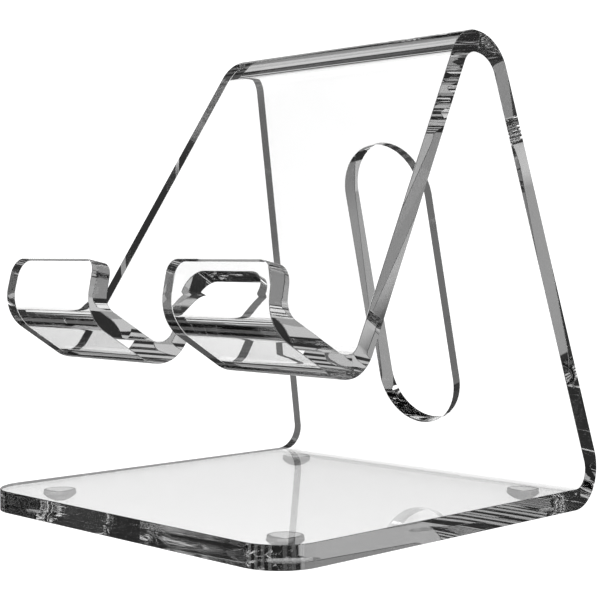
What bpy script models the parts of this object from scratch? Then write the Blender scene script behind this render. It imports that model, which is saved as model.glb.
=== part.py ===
"""Clear acrylic phone stand: one heat-bent sheet standing on four domed bumper feet.

The sheet is made as it would be in a workshop. A flat blank is cut with its oblong
window and its cable slot, marked with the bend lines, given its thickness, and then
folded up: base, rear bend, back panel, top bend, front panel, fold, shelf and lip.
The slot reaches in from the lip, so the shelf and the lip become two hooks.

Units are metres, +Z is up and the phone faces -Y. The origin is the middle of the
footprint, on the surface that the stand rests on.
"""
import math

import bmesh
import bpy
from mathutils import Matrix, Vector

MM = 0.001

# ---- Driving dimensions ---------------------------------------------------------
SHEET = 5.0 * MM                 # thickness of the acrylic

# Widths across the blank: straight edges run from one to the next.
BASE_WIDTH = 100.0 * MM          # all along the base
TOP_WIDTH = 74.4 * MM            # at the middle of the top bend
FOLD_WIDTH = 91.8 * MM           # at the middle of the fold under the phone
LIP_WIDTH = 87.2 * MM            # over both hooks, at their tips

# Flats, from the front edge of the base to the tips of the hooks.
BASE_LENGTH = 95.8 * MM
BACK_LENGTH = 91.8 * MM
FRONT_LENGTH = 73.9 * MM
SHELF_LENGTH = 12.5 * MM
LIP_LENGTH = 6.8 * MM

# Bends between those flats: turn, and radius on the inside of the bend.
REAR_TURN, REAR_RADIUS = math.radians(103.6), 5.2 * MM
TOP_TURN, TOP_RADIUS = math.radians(135.2), 5.7 * MM
FOLD_TURN, FOLD_RADIUS = math.radians(-90.2), 4.2 * MM
LIP_TURN, LIP_RADIUS = math.radians(-70.3), 3.9 * MM

# Corners and cut-outs of the blank.
BASE_CORNER = 10.0 * MM
HOOK_OUTER_CORNER = 4.2 * MM
HOOK_INNER_CORNER = 3.0 * MM
SLOT_WIDTH = 25.0 * MM
SLOT_RISE = 15.8 * MM            # how far the slot climbs the front panel
SLOT_CORNER = 4.5 * MM
WINDOW_WIDTH = 24.4 * MM
WINDOW_FOOT = 4.9 * MM           # above the rear bend
WINDOW_HEIGHT = 71.0 * MM

# Feet, each a dome on a round disc of adhesive.
FOOT_DIAMETER = 7.7 * MM
FOOT_HEIGHT = 1.8 * MM
FOOT_EDGE = 0.15 * MM            # upright edge above the dome
FOOT_FLAT = 1.8 * MM             # flat that touches the table
ADHESIVE_DIAMETER = 7.4 * MM
ADHESIVE_THICKNESS = 0.2 * MM
FOOT_SIDE_INSET = 12.0 * MM      # from the side edge of the base to the foot's middle
FOOT_FRONT_INSET = 13.2 * MM     # from the front edge of the base
FOOT_REAR_INSET = 4.5 * MM       # from the start of the rear bend

PIECE_GAP = 0.25 * MM            # between pieces that touch

# Fineness.
BEND_FACET = math.radians(7.0)
CORNER_FACET = math.radians(9.0)
FOOT_SIDES = 32
FOOT_DOME_STEPS = 8
SHARP_ANGLE = math.radians(30.0)
WELD = 0.001 * MM

# Look of each material: colour, roughness and transmission.
ACRYLIC = ((0.97, 0.98, 0.98), 0.02, 1.0)
POLYURETHANE = ((0.72, 0.73, 0.74), 0.25, 0.6)
ADHESIVE = ((0.80, 0.81, 0.82), 0.40, 0.6)
REFRACTIVE_INDEX = 1.49

# ---- Sizes that follow ----------------------------------------------------------
FOOTPRINT_DEPTH = BASE_LENGTH + REAR_RADIUS + SHEET
UNDERSIDE = FOOT_HEIGHT + ADHESIVE_THICKNESS + 2 * PIECE_GAP


def bend_length(turn, inner_radius):
    """Length of a bend, measured in the middle of the sheet."""
    return abs(turn) * (inner_radius + SHEET / 2)


# The run of the sheet, as (length, turn): a flat turns by nothing.
RUN = (
    (BASE_LENGTH, 0.0),
    (bend_length(REAR_TURN, REAR_RADIUS), REAR_TURN),
    (BACK_LENGTH, 0.0),
    (bend_length(TOP_TURN, TOP_RADIUS), TOP_TURN),
    (FRONT_LENGTH, 0.0),
    (bend_length(FOLD_TURN, FOLD_RADIUS), FOLD_TURN),
    (SHELF_LENGTH, 0.0),
    (bend_length(LIP_TURN, LIP_RADIUS), LIP_TURN),
    (LIP_LENGTH, 0.0),
)

# Places in that run.
REAR_BEND = 1
BACK = 2
TOP_BEND = 3
FOLD = 5


def starts_along():
    """Distance along the blank at which each flat and each bend starts, and the end."""
    starts = [0.0]
    for length, _ in RUN:
        starts.append(starts[-1] + length)
    return starts


STARTS = starts_along()


# ---- The flat blank -------------------------------------------------------------
def fillet(before, corner, after, radius):
    """Points of the arc that rounds a corner of an outline."""
    to_before = (before - corner).normalized()
    to_after = (after - corner).normalized()
    half = to_before.angle(to_after) / 2
    reach = radius / math.tan(half)
    centre = corner + (to_before + to_after).normalized() * (radius / math.sin(half))
    first = corner + to_before * reach - centre
    last = corner + to_after * reach - centre
    turn = first.angle(last)
    spread = math.sin(turn)
    steps = max(1, math.ceil(turn / CORNER_FACET))
    points = []
    for step in range(steps + 1):
        part = step / steps
        arm = (first * math.sin((1 - part) * turn) + last * math.sin(part * turn)) / spread
        points.append(centre + arm)
    return points


def half_blank():
    """Outline of the blank's right half, from the middle of the front edge.

    The window and the slot lie on the middle line, so each is half of this outline.
    """
    tip = STARTS[-1]
    top = (STARTS[TOP_BEND] + STARTS[TOP_BEND + 1]) / 2
    fold = (STARTS[FOLD] + STARTS[FOLD + 1]) / 2
    slot_end = STARTS[FOLD] - SLOT_RISE
    window_bottom = STARTS[BACK] + WINDOW_FOOT
    window_top = window_bottom + WINDOW_HEIGHT
    window_half = WINDOW_WIDTH / 2
    corners = (
        (0.0, 0.0, 0.0),
        (BASE_WIDTH / 2, 0.0, BASE_CORNER),
        (BASE_WIDTH / 2, STARTS[REAR_BEND], 0.0),
        (TOP_WIDTH / 2, top, 0.0),
        (FOLD_WIDTH / 2, fold, 0.0),
        (LIP_WIDTH / 2, tip, HOOK_OUTER_CORNER),
        (SLOT_WIDTH / 2, tip, HOOK_INNER_CORNER),
        (SLOT_WIDTH / 2, slot_end, SLOT_CORNER),
        (0.0, slot_end, 0.0),
        (0.0, window_top, 0.0),
        (window_half, window_top, window_half),
        (window_half, window_bottom, window_half),
        (0.0, window_bottom, 0.0),
    )
    places = [Vector((across, along, 0.0)) for across, along, _ in corners]
    outline = []
    for index, (_, _, radius) in enumerate(corners):
        corner = places[index]
        if radius:
            after = places[(index + 1) % len(places)]
            outline.extend(fillet(places[index - 1], corner, after, radius))
        else:
            outline.append(corner)
    return outline


def bend_lines():
    """Distances along the blank at which it is creased to take each bend."""
    lines = []
    for start, (length, turn) in zip(STARTS, RUN):
        if turn:
            creases = math.ceil(abs(turn) / BEND_FACET)
            for crease in range(creases + 1):
                lines.append(start + length * crease / creases)
    return lines


# ---- Folding --------------------------------------------------------------------
def fold_up(across, along, off):
    """Place a point of the blank on the folded sheet.

    `along` runs from the front edge of the base, and `off` is the height over the
    middle of the sheet, towards the side that is the base's upper face.
    """
    y = -FOOTPRINT_DEPTH / 2
    z = UNDERSIDE + SHEET / 2
    heading = 0.0
    left = along
    for length, turn in RUN:
        step = min(left, length)
        if turn:
            radius = length / turn
            turned = heading + turn * step / length
            y += radius * (math.sin(turned) - math.sin(heading))
            z -= radius * (math.cos(turned) - math.cos(heading))
            heading = turned
        else:
            y += step * math.cos(heading)
            z += step * math.sin(heading)
        left -= step
        if left <= 0.0:
            break
    return Vector((across, y - off * math.sin(heading), z + off * math.cos(heading)))


def creased(outline, lines):
    """Add a point to the outline wherever a bend line crosses it."""
    points = []
    for start, end in zip(outline, outline[1:] + outline[:1]):
        points.append(start)
        low, high = sorted((start.y, end.y))
        crossed = [line for line in lines if low + WELD < line < high - WELD]
        if end.y < start.y:
            crossed.reverse()
        for line in crossed:
            points.append(start.lerp(end, (line - start.y) / (end.y - start.y)))
    return points


def sheet_mesh(name):
    """Cut the blank, crease it along the bend lines, thicken it and fold it up."""
    lines = bend_lines()
    bm = bmesh.new()
    bm.faces.new([bm.verts.new(point) for point in creased(half_blank(), lines)])
    bmesh.ops.remove_doubles(bm, verts=bm.verts[:], dist=WELD)
    for line in lines:
        ends = [vertex for vertex in bm.verts if abs(vertex.co.y - line) < WELD]
        bmesh.ops.connect_verts(bm, verts=ends)
    half = bm.verts[:] + bm.edges[:] + bm.faces[:]
    bmesh.ops.mirror(bm, geom=half, matrix=Matrix.Identity(4), merge_dist=WELD, axis="X")

    bmesh.ops.translate(bm, verts=bm.verts[:], vec=Vector((0.0, 0.0, -SHEET / 2)))
    raised = bmesh.ops.extrude_face_region(bm, geom=bm.faces[:], use_keep_orig=True)
    upper = [item for item in raised["geom"] if isinstance(item, bmesh.types.BMVert)]
    bmesh.ops.translate(bm, verts=upper, vec=Vector((0.0, 0.0, SHEET)))

    for vertex in bm.verts:
        vertex.co = fold_up(*vertex.co)
    bmesh.ops.recalc_face_normals(bm, faces=bm.faces[:])
    if bm.calc_volume(signed=True) < 0.0:
        bmesh.ops.reverse_faces(bm, faces=bm.faces[:])

    mesh = bpy.data.meshes.new(name)
    bm.to_mesh(mesh)
    bm.free()
    return mesh


# ---- Feet -----------------------------------------------------------------------
def turned_mesh(name, profile):
    """Spin an outline of (radius, height) points around Z into a closed piece."""
    bm = bmesh.new()
    rim = [bm.verts.new((radius, 0.0, height)) for radius, height in profile]
    edges = [bm.edges.new(pair) for pair in zip(rim, rim[1:])]
    bmesh.ops.spin(
        bm, geom=rim + edges, cent=Vector(), axis=Vector((0.0, 0.0, 1.0)),
        angle=math.tau, steps=FOOT_SIDES, use_merge=True,
    )
    bmesh.ops.remove_doubles(bm, verts=bm.verts[:], dist=WELD)
    bmesh.ops.recalc_face_normals(bm, faces=bm.faces[:])
    mesh = bpy.data.meshes.new(name)
    bm.to_mesh(mesh)
    bm.free()
    return mesh


def dome_profile():
    """A foot's outline: its flat tip, a part of a sphere, then its upright edge."""
    rise = FOOT_HEIGHT - FOOT_EDGE
    tip = FOOT_FLAT / 2
    rim = FOOT_DIAMETER / 2
    centre = (rim ** 2 - tip ** 2 + rise ** 2) / (2 * rise)
    ball = math.hypot(tip, centre)
    first = math.asin(tip / ball)
    last = math.asin(rim / ball)
    profile = [(0.0, 0.0)]
    for step in range(FOOT_DOME_STEPS + 1):
        angle = first + (last - first) * step / FOOT_DOME_STEPS
        profile.append((ball * math.sin(angle), centre - ball * math.cos(angle)))
    profile.append((rim, FOOT_HEIGHT))
    profile.append((0.0, FOOT_HEIGHT))
    return profile


def disc_profile():
    """The adhesive disc's outline, standing on its own lower face."""
    radius = ADHESIVE_DIAMETER / 2
    return [(0.0, 0.0), (radius, 0.0), (radius, ADHESIVE_THICKNESS), (0.0, ADHESIVE_THICKNESS)]


def foot_places():
    """Name and plan position of each foot."""
    side = BASE_WIDTH / 2 - FOOT_SIDE_INSET
    front = -FOOTPRINT_DEPTH / 2 + FOOT_FRONT_INSET
    rear = -FOOTPRINT_DEPTH / 2 + BASE_LENGTH - FOOT_REAR_INSET
    return {
        "front_left": (-side, front),
        "front_right": (side, front),
        "rear_left": (-side, rear),
        "rear_right": (side, rear),
    }


# ---- Scene ----------------------------------------------------------------------
def clear_scene():
    for item in list(bpy.data.objects):
        bpy.data.objects.remove(item, do_unlink=True)


def plain_material(name, look):
    colour, roughness, transmission = look
    material = bpy.data.materials.new(name)
    material.use_nodes = True
    shader = material.node_tree.nodes["Principled BSDF"]
    shader.inputs["Base Color"].default_value = (*colour, 1.0)
    shader.inputs["Metallic"].default_value = 0.0
    shader.inputs["Roughness"].default_value = roughness
    shader.inputs["Transmission Weight"].default_value = transmission
    shader.inputs["IOR"].default_value = REFRACTIVE_INDEX
    return material


def add_piece(name, mesh, material, parent, location=(0.0, 0.0, 0.0)):
    """Add one named piece, shaded smooth across its bends and sharp at its edges."""
    mesh.shade_smooth()
    mesh.set_sharp_from_angle(angle=SHARP_ANGLE)
    piece = bpy.data.objects.new(name, mesh)
    piece.data.materials.append(material)
    piece.location = location
    piece.parent = parent
    bpy.context.collection.objects.link(piece)
    return piece


def build():
    clear_scene()
    stand = bpy.data.objects.new("stand_origin", None)
    bpy.context.collection.objects.link(stand)

    acrylic = plain_material("clear_acrylic", ACRYLIC)
    add_piece("stand_body", sheet_mesh("stand_body"), acrylic, stand)

    for place, (x, y) in foot_places().items():
        rubber = plain_material(f"foot_{place}_polyurethane", POLYURETHANE)
        dome = turned_mesh(f"foot_{place}", dome_profile())
        add_piece(f"foot_{place}", dome, rubber, stand, (x, y, 0.0))

        film = plain_material(f"adhesive_{place}_film", ADHESIVE)
        disc = turned_mesh(f"adhesive_{place}", disc_profile())
        add_piece(f"adhesive_{place}", disc, film, stand, (x, y, FOOT_HEIGHT + PIECE_GAP))


build()
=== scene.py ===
"""Clear acrylic phone stand on four bumper feet, in a plain white studio.

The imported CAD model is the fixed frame. The bent sheet, the feet and their adhesive
are rebuilt here at a finer resolution, on the places that the frame gives them.
"""
import math

import bmesh
import bpy
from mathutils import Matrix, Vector


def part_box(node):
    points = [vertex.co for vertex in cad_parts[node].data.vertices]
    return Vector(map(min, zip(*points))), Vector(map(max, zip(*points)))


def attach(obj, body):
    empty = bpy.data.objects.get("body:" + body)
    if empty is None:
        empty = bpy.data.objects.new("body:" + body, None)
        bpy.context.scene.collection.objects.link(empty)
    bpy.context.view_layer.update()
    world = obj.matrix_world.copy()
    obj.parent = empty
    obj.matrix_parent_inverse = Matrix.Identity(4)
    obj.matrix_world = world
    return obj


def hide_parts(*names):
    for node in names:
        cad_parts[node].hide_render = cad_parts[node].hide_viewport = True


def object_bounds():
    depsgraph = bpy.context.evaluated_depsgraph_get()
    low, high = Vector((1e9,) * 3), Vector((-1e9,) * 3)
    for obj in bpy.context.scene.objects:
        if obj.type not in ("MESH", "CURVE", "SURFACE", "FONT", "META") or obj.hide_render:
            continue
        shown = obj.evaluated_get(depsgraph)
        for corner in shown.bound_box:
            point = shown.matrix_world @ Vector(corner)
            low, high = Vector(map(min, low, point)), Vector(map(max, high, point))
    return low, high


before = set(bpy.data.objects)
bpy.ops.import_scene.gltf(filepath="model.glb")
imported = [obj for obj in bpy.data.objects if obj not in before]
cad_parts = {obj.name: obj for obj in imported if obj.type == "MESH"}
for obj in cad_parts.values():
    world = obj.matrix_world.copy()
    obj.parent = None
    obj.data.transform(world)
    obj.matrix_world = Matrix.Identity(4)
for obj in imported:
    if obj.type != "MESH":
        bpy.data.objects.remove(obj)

CAD_LOW, CAD_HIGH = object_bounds()
BODY_LOW, BODY_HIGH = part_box("stand_body")

MM = 0.001

# ---- The sheet, as the CAD model has it -----------------------------------------
SHEET = 5.0 * MM
SKIN = 0.02 * MM                 # keeps the finer curves inside the CAD's facets

BASE_WIDTH = BODY_HIGH.x - BODY_LOW.x
TOP_WIDTH = 74.4 * MM
FOLD_WIDTH = 91.8 * MM
LIP_WIDTH = 87.2 * MM

BASE_LENGTH = 95.8 * MM
BACK_LENGTH = 91.8 * MM
FRONT_LENGTH = 73.9 * MM
SHELF_LENGTH = 12.5 * MM
LIP_LENGTH = 6.8 * MM

REAR_TURN, REAR_RADIUS = math.radians(103.6), 5.2 * MM
TOP_TURN, TOP_RADIUS = math.radians(135.2), 5.7 * MM
FOLD_TURN, FOLD_RADIUS = math.radians(-90.2), 4.2 * MM
LIP_TURN, LIP_RADIUS = math.radians(-70.3), 3.9 * MM

BASE_CORNER = 10.0 * MM
HOOK_OUTER_CORNER = 4.2 * MM
HOOK_INNER_CORNER = 3.0 * MM
SLOT_WIDTH = 25.0 * MM
SLOT_RISE = 15.8 * MM
SLOT_CORNER = 4.5 * MM
WINDOW_WIDTH = 24.4 * MM
WINDOW_FOOT = 4.9 * MM
WINDOW_HEIGHT = 71.0 * MM

# ---- Finish and fineness --------------------------------------------------------
ARRIS = 0.12 * MM                # radius of the polished edge of the sheet
ARRIS_STEPS = 4
BEND_FACET = math.radians(1.5)
CORNER_FACET = math.radians(3.0)
WELD = 0.0005 * MM               # points closer than this are one point


def bend_length(turn, inner_radius):
    """Length of a bend, measured in the middle of the sheet."""
    return abs(turn) * (inner_radius + SHEET / 2)


# The run of the sheet, as (length, turn): a flat turns by nothing.
RUN = (
    (BASE_LENGTH, 0.0),
    (bend_length(REAR_TURN, REAR_RADIUS), REAR_TURN),
    (BACK_LENGTH, 0.0),
    (bend_length(TOP_TURN, TOP_RADIUS), TOP_TURN),
    (FRONT_LENGTH, 0.0),
    (bend_length(FOLD_TURN, FOLD_RADIUS), FOLD_TURN),
    (SHELF_LENGTH, 0.0),
    (bend_length(LIP_TURN, LIP_RADIUS), LIP_TURN),
    (LIP_LENGTH, 0.0),
)

# Places in that run.
REAR_BEND = 1
BACK = 2
TOP_BEND = 3
FOLD = 5


def starts_along():
    """Distance along the blank at which each flat and each bend starts, and the end."""
    starts = [0.0]
    for length, _ in RUN:
        starts.append(starts[-1] + length)
    return starts


STARTS = starts_along()


# ---- Outline of the flat blank --------------------------------------------------
def fillet(before, corner, after, radius):
    """Points of the arc that rounds a corner of an outline."""
    to_before = (before - corner).normalized()
    to_after = (after - corner).normalized()
    half = to_before.angle(to_after) / 2
    reach = radius / math.tan(half)
    centre = corner + (to_before + to_after).normalized() * (radius / math.sin(half))
    first = corner + to_before * reach - centre
    last = corner + to_after * reach - centre
    turn = first.angle(last)
    spread = math.sin(turn)
    steps = max(1, math.ceil(turn / CORNER_FACET))
    points = []
    for step in range(steps + 1):
        part = step / steps
        arm = (first * math.sin((1 - part) * turn) + last * math.sin(part * turn)) / spread
        points.append(centre + arm)
    return points


def half_blank():
    """Outline of the blank's right half, from the middle of the front edge.

    The window and the slot lie on the middle line, so each is half of this outline.
    """
    tip = STARTS[-1]
    top = (STARTS[TOP_BEND] + STARTS[TOP_BEND + 1]) / 2
    fold = (STARTS[FOLD] + STARTS[FOLD + 1]) / 2
    slot_end = STARTS[FOLD] - SLOT_RISE
    window_bottom = STARTS[BACK] + WINDOW_FOOT
    window_top = window_bottom + WINDOW_HEIGHT
    window_half = WINDOW_WIDTH / 2
    corners = (
        (0.0, 0.0, 0.0),
        (BASE_WIDTH / 2, 0.0, BASE_CORNER),
        (BASE_WIDTH / 2, STARTS[REAR_BEND], 0.0),
        (TOP_WIDTH / 2, top, 0.0),
        (FOLD_WIDTH / 2, fold, 0.0),
        (LIP_WIDTH / 2, tip, HOOK_OUTER_CORNER),
        (SLOT_WIDTH / 2, tip, HOOK_INNER_CORNER),
        (SLOT_WIDTH / 2, slot_end, SLOT_CORNER),
        (0.0, slot_end, 0.0),
        (0.0, window_top, 0.0),
        (window_half, window_top, window_half),
        (window_half, window_bottom, window_half),
        (0.0, window_bottom, 0.0),
    )
    places = [Vector((across, along)) for across, along, _ in corners]
    outline = []
    for index, (_, _, radius) in enumerate(corners):
        corner = places[index]
        if radius:
            after = places[(index + 1) % len(places)]
            rounded = fillet(places[index - 1], corner, after, radius)
        else:
            rounded = [corner]
        for point in rounded:
            if not outline or (point - outline[-1]).length > WELD:
                outline.append(point)
    return outline


def bend_lines():
    """Distances along the blank at which it is creased to take each bend."""
    lines = []
    for start, (length, turn) in zip(STARTS, RUN):
        if turn:
            creases = math.ceil(abs(turn) / BEND_FACET)
            for crease in range(creases + 1):
                lines.append(start + length * crease / creases)
    return lines


def creased(outline, lines):
    """Add a point to the outline wherever a bend line crosses it."""
    points = []
    for start, end in zip(outline, outline[1:] + outline[:1]):
        points.append(start)
        low, high = sorted((start.y, end.y))
        crossed = [line for line in lines if low + WELD < line < high - WELD]
        if end.y < start.y:
            crossed.reverse()
        for line in crossed:
            points.append(start.lerp(end, (line - start.y) / (end.y - start.y)))
    return points


def is_middle(point):
    """Whether a point lies on the middle line, where the two halves meet."""
    return abs(point.x) < WELD


def outward(points):
    """Outward direction at each point, or None along the middle line."""
    count = len(points)
    found = []
    for index, point in enumerate(points):
        before, after = points[index - 1], points[(index + 1) % count]
        joined = []
        for start, end in ((before, point), (point, after)):
            if not (is_middle(start) and is_middle(end)):
                run = (end - start).normalized()
                joined.append(Vector((run.y, -run.x)))
        if not joined:
            found.append(None)
            continue
        normal = sum(joined, Vector((0.0, 0.0))).normalized()
        if is_middle(point):
            normal = Vector((0.0, math.copysign(1.0, normal.y)))
        found.append(normal)
    return found


def inset(point, normal, depth, lines):
    """Move a point of the outline inwards, along its bend line if it is on one."""
    if normal is None:
        return point
    if any(abs(point.y - line) < WELD for line in lines):
        return Vector((point.x - depth / normal.x, point.y))
    return point - normal * depth


# ---- Folding --------------------------------------------------------------------
def fold_place(along):
    """Place and heading of the middle of the sheet, at a distance along the blank."""
    y = BODY_LOW.y
    z = BODY_LOW.z + SHEET / 2
    heading = 0.0
    left = along
    for length, turn in RUN:
        step = min(left, length)
        if turn:
            radius = length / turn
            turned = heading + turn * step / length
            y += radius * (math.sin(turned) - math.sin(heading))
            z -= radius * (math.cos(turned) - math.cos(heading))
            heading = turned
        else:
            y += step * math.cos(heading)
            z += step * math.sin(heading)
        left -= step
        if left <= 0.0:
            break
    return y, z, heading


def folded(point, off):
    """Place on the folded sheet of a point of the blank, `off` over its middle."""
    y, z, heading = fold_place(point.y)
    return Vector((point.x, y - off * math.sin(heading), z + off * math.cos(heading)))


def leaning(point, normal, lean):
    """Surface direction: straight off the sheet at 0 and straight off its edge at 1."""
    _, _, heading = fold_place(point.y)
    along = Vector((0.0, math.cos(heading), math.sin(heading)))
    off = Vector((0.0, -math.sin(heading), math.cos(heading)))
    if normal is None:
        return off
    edge = Vector((normal.x, 0.0, 0.0)) + along * normal.y
    angle = lean * math.pi / 2
    return off * math.cos(angle) + edge * math.sin(angle)


def add_cap(bm, ring, lines):
    """Close one face of the sheet, divided at every bend line."""
    bm.faces.new(ring)
    for line in lines:
        ends = [vertex for vertex in ring if abs(vertex.co.y - line) < WELD]
        bmesh.ops.connect_verts(bm, verts=ends)


def edge_rings(bm, outline, normals, lines):
    """Rings of points around the sheet's edge, from its upper face to its lower face.

    Each entry is (vertex, outward direction, lean, side), and None where the middle
    line needs no edge because the other half continues the sheet.
    """
    half = SHEET / 2 - SKIN
    rings = []
    for side in (1.0, -1.0):
        for step in range(ARRIS_STEPS + 1):
            lean = step / ARRIS_STEPS if side > 0 else 1.0 - step / ARRIS_STEPS
            angle = lean * math.pi / 2
            depth = SKIN + ARRIS * (1.0 - math.sin(angle))
            off = side * (half - ARRIS * (1.0 - math.cos(angle)))
            ring = []
            for point, normal in zip(outline, normals):
                if normal is None and 0.0 < lean:
                    ring.append(None)
                    continue
                vertex = bm.verts.new((*inset(point, normal, depth, lines), off))
                ring.append((vertex, normal, lean, side))
            rings.append(ring)
    return rings


def add_edge_faces(bm, outline, rings):
    """Join each ring to the next, except along the middle line."""
    count = len(outline)
    for upper, lower in zip(rings, rings[1:]):
        for index in range(count):
            after = (index + 1) % count
            if is_middle(outline[index]) and is_middle(outline[after]):
                continue
            corners = (upper[index], lower[index], lower[after], upper[after])
            bm.faces.new([corner[0] for corner in corners])


def surface_direction(vertex, normal, lean, side):
    """The exact direction that the folded sheet faces at a point of the blank."""
    point = vertex.co.xy
    direction = leaning(point, normal, lean)
    if side < 0:
        # The lower face looks the other way, and the edge the same way.
        upright = leaning(point, None, 0.0)
        direction = direction - 2.0 * direction.dot(upright) * upright
    return direction


def sheet_mesh(name):
    """Right half of the folded sheet, with rounded arrises, and its surface directions."""
    lines = bend_lines()
    outline = creased(half_blank(), lines)
    bm = bmesh.new()
    rings = edge_rings(bm, outline, outward(outline), lines)
    add_edge_faces(bm, outline, rings)
    add_cap(bm, [entry[0] for entry in rings[0]], lines)
    add_cap(bm, [entry[0] for entry in reversed(rings[-1])], lines)

    facing = []
    for ring in rings:
        for entry in ring:
            if entry is not None:
                vertex = entry[0]
                facing.append(surface_direction(*entry))
                vertex.co = folded(vertex.co.xy, vertex.co.z)

    mesh = bpy.data.meshes.new(name)
    bm.to_mesh(mesh)
    bm.free()
    return mesh, facing


def mirrored(mesh, facing):
    """Join the right half to its reflection, keeping the exact surface directions."""
    places = [vertex.co.copy() for vertex in mesh.vertices]
    faces = [tuple(face.vertices) for face in mesh.polygons]
    twin = []
    for index, (place, direction) in enumerate(zip(places[:], facing[:])):
        if is_middle(place):
            twin.append(index)
        else:
            twin.append(len(places))
            places.append(Vector((-place.x, place.y, place.z)))
            facing.append(Vector((-direction.x, direction.y, direction.z)))
    faces += [tuple(twin[index] for index in reversed(face)) for face in faces]
    whole = bpy.data.meshes.new(mesh.name)
    whole.from_pydata([tuple(place) for place in places], [], faces)
    bpy.data.meshes.remove(mesh)
    whole.shade_smooth()
    whole.normals_split_custom_set_from_vertices([tuple(item) for item in facing])
    return whole


# ---- Feet -----------------------------------------------------------------------
FOOT_SIDES = 64
FOOT_STEPS = 14                  # facets from the flat tip to the upright edge
FOOT_EDGE = 0.15 * MM            # upright edge above the dome
FOOT_FLAT = 1.8 * MM             # flat that touches the table
SEAT = 0.01 * MM                 # how far the film sits into its two neighbours
SHARP_ANGLE = math.radians(40.0)


def turned_mesh(name, profile):
    """Spin an outline of (radius, height) points around Z into a closed piece."""
    bm = bmesh.new()
    rim = [bm.verts.new((radius, 0.0, height)) for radius, height in profile]
    edges = [bm.edges.new(pair) for pair in zip(rim, rim[1:])]
    bmesh.ops.spin(
        bm, geom=rim + edges, cent=Vector(), axis=Vector((0.0, 0.0, 1.0)),
        angle=math.tau, steps=FOOT_SIDES, use_merge=True,
    )
    bmesh.ops.remove_doubles(bm, verts=bm.verts[:], dist=WELD)
    bmesh.ops.recalc_face_normals(bm, faces=bm.faces[:])
    mesh = bpy.data.meshes.new(name)
    bm.to_mesh(mesh)
    bm.free()
    mesh.shade_smooth()
    mesh.set_sharp_from_angle(angle=SHARP_ANGLE)
    return mesh


def foot_profile(rim, height):
    """A foot's outline: its flat tip, a part of a sphere, then its upright edge."""
    rise = height - FOOT_EDGE
    tip = FOOT_FLAT / 2
    centre = (rim ** 2 - tip ** 2 + rise ** 2) / (2 * rise)
    ball = math.hypot(tip, centre)
    first = math.asin(tip / ball)
    last = math.asin(rim / ball)
    profile = [(0.0, 0.0)]
    for step in range(FOOT_STEPS + 1):
        angle = first + (last - first) * step / FOOT_STEPS
        profile.append((ball * math.sin(angle), centre - ball * math.cos(angle)))
    profile.append((rim, height))
    profile.append((0.0, height))
    return profile


def disc_profile(radius, thickness):
    """The film's outline, standing on its own lower face."""
    return [(0.0, 0.0), (radius, 0.0), (radius, thickness), (0.0, thickness)]


# ---- Materials ------------------------------------------------------------------
ABSORPTION = 4.0                 # per metre: two thirds of the light is left after 100 mm
REFRACTIVE_INDEX = 1.49
NOISE_DETAIL = 2.0


def new_material(name):
    """A material with its node tree and its Principled shader."""
    material = bpy.data.materials.new(name)
    material.use_nodes = True
    tree = material.node_tree
    return material, tree, tree.nodes["Principled BSDF"]


def clear_finish(name, tint, grain, roughness, relief):
    """A clear moulded surface: its roughness and a faint relief come from one noise.

    `grain` is the size of the noise, `roughness` its lowest and highest value, and
    `relief` the height of the bumps.
    """
    material, tree, shader = new_material(name)
    shader.inputs["Base Color"].default_value = (tint, tint, tint, 1.0)
    shader.inputs["Transmission Weight"].default_value = 1.0
    shader.inputs["IOR"].default_value = REFRACTIVE_INDEX

    where = tree.nodes.new("ShaderNodeTexCoord")
    noise = tree.nodes.new("ShaderNodeTexNoise")
    noise.inputs["Scale"].default_value = 1.0 / grain
    noise.inputs["Detail"].default_value = NOISE_DETAIL
    tree.links.new(where.outputs["Object"], noise.inputs["Vector"])

    smoothest, roughest = roughness
    spread = tree.nodes.new("ShaderNodeMapRange")
    spread.inputs["To Min"].default_value = smoothest
    spread.inputs["To Max"].default_value = roughest
    tree.links.new(noise.outputs["Fac"], spread.inputs["Value"])
    tree.links.new(spread.outputs["Result"], shader.inputs["Roughness"])

    bump = tree.nodes.new("ShaderNodeBump")
    bump.inputs["Distance"].default_value = relief
    tree.links.new(noise.outputs["Fac"], bump.inputs["Height"])
    tree.links.new(bump.outputs["Normal"], shader.inputs["Normal"])
    return material, tree


def acrylic_material():
    """Cast acrylic: clear, with a faint waviness, and greyer the longer the way in it."""
    material, tree = clear_finish(
        "clear_acrylic", tint=1.0, grain=9.0 * MM, roughness=(0.0, 0.003), relief=0.001 * MM,
    )
    inside = tree.nodes.new("ShaderNodeVolumeAbsorption")
    inside.inputs["Color"].default_value = (0.0, 0.0, 0.0, 1.0)
    inside.inputs["Density"].default_value = ABSORPTION
    tree.links.new(inside.outputs["Volume"], tree.nodes["Material Output"].inputs["Volume"])
    return material


def polyurethane_material():
    """Soft clear polyurethane with a satin skin from its mould, tinted grey as painted shade for
    the darkness seen through its domes.
    """
    material, _ = clear_finish(
        # The grey tint of 0.60 is painted shade: it darkens the clear domes to stand in for the
        # dark seen through them.
        "clear_polyurethane", tint=0.60, grain=0.8 * MM, roughness=(0.0, 0.03), relief=0.006 * MM,
    )
    return material


def film_material():
    """The adhesive film, slightly hazy where it has wetted the sheet unevenly."""
    material, _ = clear_finish(
        "adhesive_film", tint=0.95, grain=0.5 * MM, roughness=(0.02, 0.16), relief=0.002 * MM,
    )
    return material


# ---- Pieces ---------------------------------------------------------------------
def add_piece(name, mesh, material, node):
    """Add one visible piece in the place of one of the CAD's nodes."""
    piece = bpy.data.objects.new(name, mesh)
    mesh.materials.append(material)
    bpy.context.collection.objects.link(piece)
    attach(piece, "root")
    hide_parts(node)


def add_body():
    """The whole bent sheet, as one piece."""
    mesh, facing = sheet_mesh("bent_sheet")
    whole = mirrored(mesh, facing)
    add_piece("bent_sheet", whole, acrylic_material(), "stand_body")


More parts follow.
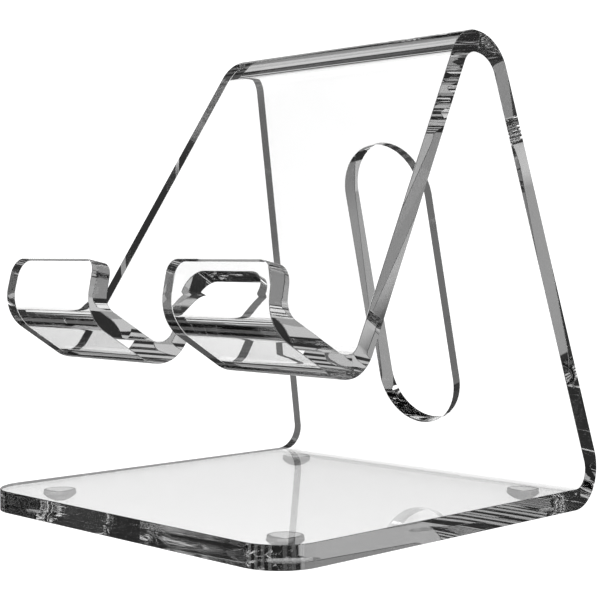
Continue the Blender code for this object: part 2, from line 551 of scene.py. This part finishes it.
def add_foot(place, rubber, film):
    """A dome and the film that holds it up against the underside of the base."""
    low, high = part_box(f"foot_{place}")
    tape_low, tape_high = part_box(f"adhesive_{place}")
    centre = (low + high) / 2
    dome = turned_mesh(f"bumper_{place}", foot_profile((high.x - low.x) / 2, high.z - low.z))
    for vertex in dome.vertices:
        vertex.co += Vector((centre.x, centre.y, low.z))
    add_piece(f"bumper_{place}", dome, rubber, f"foot_{place}")

    thickness = BODY_LOW.z + SKIN - high.z + 2 * SEAT
    radius = (tape_high.x - tape_low.x) / 2
    disc = turned_mesh(f"tape_{place}", disc_profile(radius, thickness))
    for vertex in disc.vertices:
        vertex.co += Vector((centre.x, centre.y, high.z - SEAT))
    add_piece(f"tape_{place}", disc, film, f"adhesive_{place}")


def add_feet():
    """The four feet, all of the same rubber and film."""
    rubber = polyurethane_material()
    film = film_material()
    for place in ("front_left", "front_right", "rear_left", "rear_right"):
        add_foot(place, rubber, film)


# ---- Studio ---------------------------------------------------------------------
# The object stands on a white floor before a white backdrop, and that is all that is
# seen directly or straight through a clear sheet. What it reflects, on its faces and
# inside its edges, is the rest of the studio: softboxes between dark gaps.
VIEW_YAW = math.radians(45.20)   # how far left of +Y the camera looks
VIEW_PITCH = math.radians(-1.76)
CAMERA_OFFSET = Vector((235.82, -232.18, 5.15)) * MM   # from the middle of the CAD box
CAMERA_LENS = 84.6               # focal length and sensor width, in millimetres
SENSOR_WIDTH = 36.0
CLIP_START, CLIP_END = 0.01, 20.0
FLOOR_REACH = 6.0                # from the middle of the floor to its edges
PATH_LENGTH = 24                 # surfaces that a ray may meet
WHITE = 1.30                     # strength of the backdrop and the floor
GLOOM = 0.03                     # strength of the dark between the softboxes
SOFT_EDGE = math.radians(2.0)    # angle over which a softbox fades out
PANEL_GAP = 0.5                  # share of a panel's pitch that is dark
PANEL_FADE = 0.3                 # reach of the fade at a gap's edge, as a share of half the gap

# Azimuth to the right of where the camera looks, elevation, width and height in degrees,
# brightness, and the number of upright panels that the softbox is divided into. Ahead is
# beyond the stand. The floor hides nothing from a reflection, so some are below it.
SOFTBOXES = (
    (-132.0, 0.0, 66.0, 70.0, 1.80, 4),      # tall window, behind the camera on the left
    (-88.0, -8.0, 16.0, 40.0, 0.30, 1),      # dim strip at the left
    (150.0, -5.0, 60.0, 60.0, 1.40, 3),      # behind the camera on the right
    (0.0, 14.0, 34.0, 28.0, 0.65, 1),        # straight ahead, over the camera's line
    (0.0, -14.0, 30.0, 26.0, 0.40, 1),       # straight ahead, under the camera's line
    (-50.0, 40.0, 60.0, 22.0, 0.60, 4),      # ahead on the left, high
    (42.0, 32.0, 54.0, 20.0, 1.60, 3),       # ahead on the right, high
    (88.0, 0.0, 16.0, 50.0, 0.15, 1),        # dim strip at the right
    (-110.0, 72.0, 100.0, 24.0, 1.60, 3),    # nearly overhead, to the left
    (60.0, 75.0, 100.0, 20.0, 0.80, 3),      # nearly overhead, to the right
    (-50.0, -42.0, 60.0, 16.0, 1.00, 3),     # ahead on the left, low
    (20.0, -60.0, 100.0, 20.0, 0.60, 3),     # ahead, very low
    (-150.0, -62.0, 90.0, 30.0, 0.50, 1),    # behind the camera, very low
)


def add_camera():
    """The camera, aimed from near the height of the stand's middle."""
    data = bpy.data.cameras.new("camera")
    data.lens = CAMERA_LENS
    data.sensor_width = SENSOR_WIDTH
    data.clip_start = CLIP_START
    data.clip_end = CLIP_END
    camera = bpy.data.objects.new("camera", data)
    camera.location = (CAD_LOW + CAD_HIGH) / 2 + CAMERA_OFFSET
    camera.rotation_euler = (math.pi / 2 + VIEW_PITCH, 0.0, VIEW_YAW)
    bpy.context.collection.objects.link(camera)
    bpy.context.scene.camera = camera


def math_node(tree, operation, *values):
    """A Math node; each value is a number or another node's output."""
    node = tree.nodes.new("ShaderNodeMath")
    node.operation = operation
    for socket, value in zip(node.inputs, values):
        if isinstance(value, (int, float)):
            socket.default_value = value
        else:
            tree.links.new(value, socket)
    return node.outputs[0]


def ramp(tree, value, start, end):
    """0 at the start, 1 at the end, smooth between them and level outside."""
    node = tree.nodes.new("ShaderNodeMapRange")
    node.interpolation_type = "SMOOTHSTEP"
    tree.links.new(value, node.inputs["Value"])
    node.inputs["From Min"].default_value = start
    node.inputs["From Max"].default_value = end
    return node.outputs["Result"]


def within(tree, value, reach):
    """1 where an angle is within a reach either way of nothing."""
    size = math_node(tree, "ABSOLUTE", value)
    return ramp(tree, size, reach + SOFT_EDGE, reach)


def panels_across(tree, aside, width, count):
    """1 on the panels of a divided softbox and 0 in the gaps between them."""
    pitch = width / count
    gap = pitch * PANEL_GAP / 2
    from_side = math_node(tree, "ADD", aside, width / 2)
    into = math_node(tree, "PINGPONG", from_side, pitch / 2)
    return ramp(tree, into, gap * (1.0 - PANEL_FADE), gap * (1.0 + PANEL_FADE))


def reflected(tree):
    """1 for light that has been reflected on its way, 0 for a straight look."""
    path = tree.nodes.new("ShaderNodeLightPath")
    return math_node(tree, "GREATER_THAN", path.outputs["Glossy Depth"], 0.5)


def softbox(tree, azimuth, elevation, shape):
    """The light that one softbox sends from a direction."""
    turn, rise, width, height, brightness, panels = shape
    aside = math_node(tree, "SUBTRACT", azimuth, math.radians(turn))
    aside = math_node(tree, "WRAP", aside, math.pi, -math.pi)
    above = math_node(tree, "SUBTRACT", elevation, math.radians(rise))
    lit = math_node(
        tree, "MULTIPLY",
        within(tree, aside, math.radians(width / 2)),
        within(tree, above, math.radians(height / 2)),
    )
    if panels > 1:
        split = panels_across(tree, aside, math.radians(width), panels)
        lit = math_node(tree, "MULTIPLY", lit, split)
    return math_node(tree, "MULTIPLY", lit, brightness)


def add_world():
    """The studio around the stand: white to a straight look, softboxes in reflections."""
    world = bpy.data.worlds.new("studio")
    world.use_nodes = True
    bpy.context.scene.world = world
    tree = world.node_tree
    where = tree.nodes.new("ShaderNodeTexCoord")
    parts = tree.nodes.new("ShaderNodeSeparateXYZ")
    tree.links.new(where.outputs["Generated"], parts.inputs["Vector"])
    bearing = math_node(tree, "ARCTAN2", parts.outputs["X"], parts.outputs["Y"])
    azimuth = math_node(tree, "ADD", bearing, VIEW_YAW)
    elevation = math_node(tree, "ARCSINE", parts.outputs["Z"])

    level = GLOOM
    for shape in SOFTBOXES:
        level = math_node(tree, "MAXIMUM", softbox(tree, azimuth, elevation, shape), level)

    choice = tree.nodes.new("ShaderNodeMix")
    choice.data_type = "FLOAT"
    tree.links.new(reflected(tree), choice.inputs[0])
    choice.inputs[2].default_value = WHITE
    tree.links.new(level, choice.inputs[3])
    sky = tree.nodes["Background"]
    sky.inputs["Color"].default_value = (1.0, 1.0, 1.0, 1.0)
    tree.links.new(choice.outputs[0], sky.inputs["Strength"])


def floor_material():
    """White where it is seen; reflections look past it into the studio."""
    material, tree, shader = new_material("studio_floor")
    shader.inputs["Base Color"].default_value = (0.0, 0.0, 0.0, 1.0)
    shader.inputs["Specular IOR Level"].default_value = 0.0
    shader.inputs["Roughness"].default_value = 1.0
    shader.inputs["Emission Color"].default_value = (1.0, 1.0, 1.0, 1.0)
    shader.inputs["Emission Strength"].default_value = WHITE
    clear = tree.nodes.new("ShaderNodeBsdfTransparent")
    choice = tree.nodes.new("ShaderNodeMixShader")
    tree.links.new(reflected(tree), choice.inputs["Fac"])
    tree.links.new(shader.outputs["BSDF"], choice.inputs[1])
    tree.links.new(clear.outputs["BSDF"], choice.inputs[2])
    tree.links.new(choice.outputs["Shader"], tree.nodes["Material Output"].inputs["Surface"])
    material.cycles.emission_sampling = "NONE"
    return material


def add_floor():
    """A plain pale floor, wide enough for every view."""
    bm = bmesh.new()
    bmesh.ops.create_grid(bm, x_segments=1, y_segments=1, size=FLOOR_REACH)
    mesh = bpy.data.meshes.new("studio_floor")
    bm.to_mesh(mesh)
    bm.free()
    mesh.materials.append(floor_material())
    floor = bpy.data.objects.new("studio_floor", mesh)
    floor.location.z = CAD_LOW.z
    bpy.context.collection.objects.link(floor)


def set_up_light():
    """Plain colours, and paths long enough for light caught inside the sheet."""
    scene = bpy.context.scene
    scene.view_settings.view_transform = "Standard"
    scene.cycles.max_bounces = PATH_LENGTH
    scene.cycles.glossy_bounces = PATH_LENGTH
    scene.cycles.transmission_bounces = PATH_LENGTH


add_body()
add_feet()
add_camera()
add_floor()
add_world()
set_up_light()
